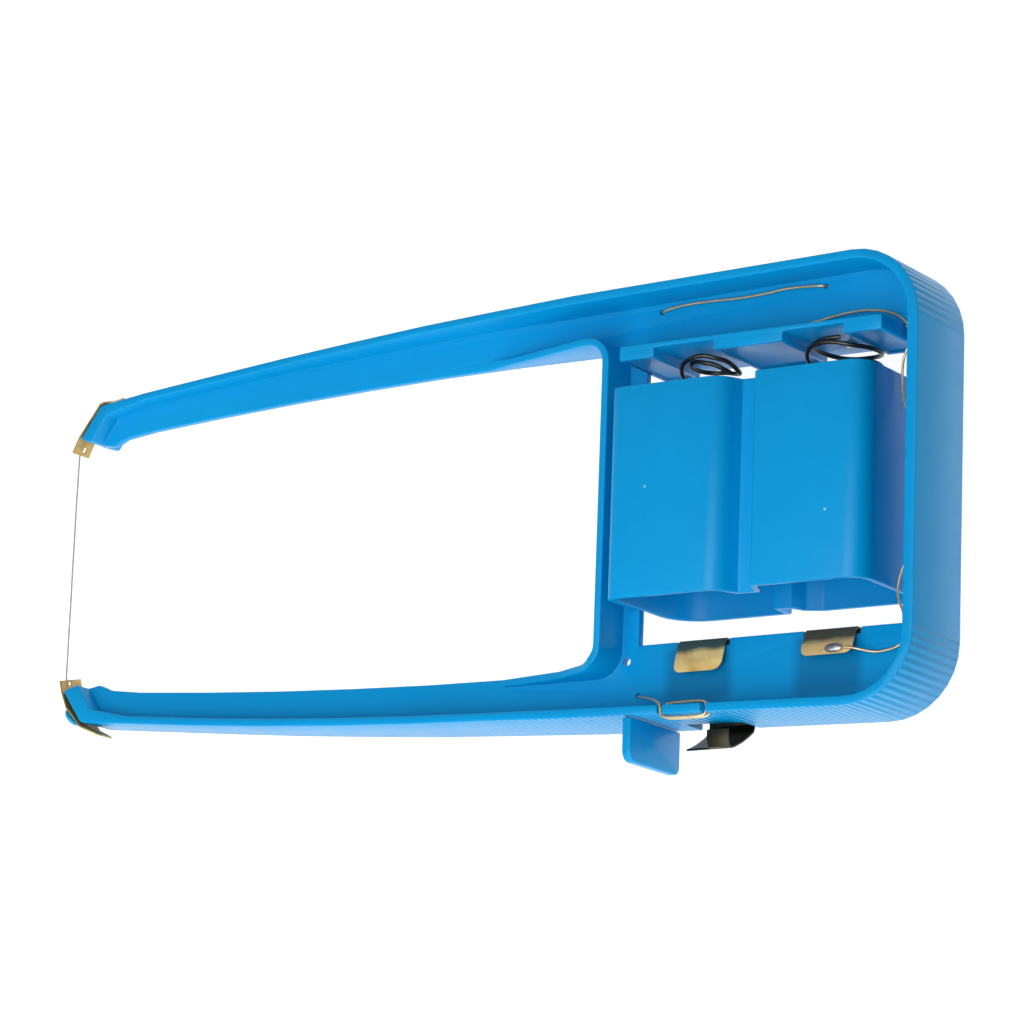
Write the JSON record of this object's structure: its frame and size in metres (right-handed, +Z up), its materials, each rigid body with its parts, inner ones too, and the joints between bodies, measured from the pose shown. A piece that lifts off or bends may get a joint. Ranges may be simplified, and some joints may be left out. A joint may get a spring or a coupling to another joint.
{
  "type": "hot-wire foam cutter",
  "caption": "Battery-powered hot-wire bow cutter for foam: plastic bow with tapered arms, taut wire between brass terminals, drop-in battery sleeve, leaf switch and finger guard.",
  "frame": {"origin": "bottom centre of the whole cutter's box, on the bench it lies on", "axes": "+X from the hot wire towards the closed end of the handle, +Y from the switch side to the plain side, +Z up through the moulding towards the side that carries the leads"},
  "size_m": [0.2261, 0.1056, 0.0294],
  "materials": {
    "blue_plastic": "glossy injection-moulded, slightly translucent",
    "brass_sheet": "rolled sheet, lightly tarnished",
    "brass_wire": "bare drawn wire, dulled",
    "spring_steel": "dark drawn spring wire",
    "heating_wire": "bright resistance wire",
    "solder": "smooth solder"
  },
  "bodies": {
    "frame": {"bow_frame": "blue_plastic", "finger_guard": "blue_plastic", "spring_rail": "blue_plastic", "stake_plain": "blue_plastic", "stake_switch": "blue_plastic", "spring_1_coil": "spring_steel", "spring_2_coil": "spring_steel", "contact_clip_1": "brass_sheet", "contact_clip_2": "brass_sheet", "switch_strip": "brass_sheet", "tip_terminal_plain": "brass_sheet", "tip_terminal_switch": "brass_sheet", "hot_wire": "heating_wire", "lead_plain_near": "brass_wire", "lead_plain_arm": "brass_wire", "lead_spring_drop": "brass_wire", "lead_link": "brass_wire", "lead_switch_arm": "brass_wire", "switch_contact": "brass_wire", "solder_bead": "solder"},
    "switch_leaf": {"switch_leaf": "brass_sheet"},
    "battery_sleeve": {"battery_sleeve": "blue_plastic"},
    "spring_1": {"spring_1_end": "spring_steel"},
    "spring_2": {"spring_2_end": "spring_steel"}
  },
  "joints": [
    {"name": "switch_press", "type": "hinge", "parent": "frame", "child": "switch_leaf", "pos_m": [0.05832, -0.04079, 0.0033], "axis": [-1, 0, 0], "range_deg": [0, 7], "stiffness_Nm_per_rad": 0.15},
    {"name": "sleeve_lift", "type": "slide", "parent": "frame", "child": "battery_sleeve", "axis": [0, 0, 1], "range_m": [0, 0.03]},
    {"name": "spring_1_press", "type": "slide", "parent": "frame", "child": "spring_1", "axis": [0, 1, 0], "range_m": [0, 0.0042], "stiffness_N_per_m": 700, "deforming": ["spring_1_coil"]},
    {"name": "spring_2_press", "type": "slide", "parent": "frame", "child": "spring_2", "axis": [0, 1, 0], "range_m": [0, 0.0042], "stiffness_N_per_m": 700, "deforming": ["spring_2_coil"]}
  ]
}
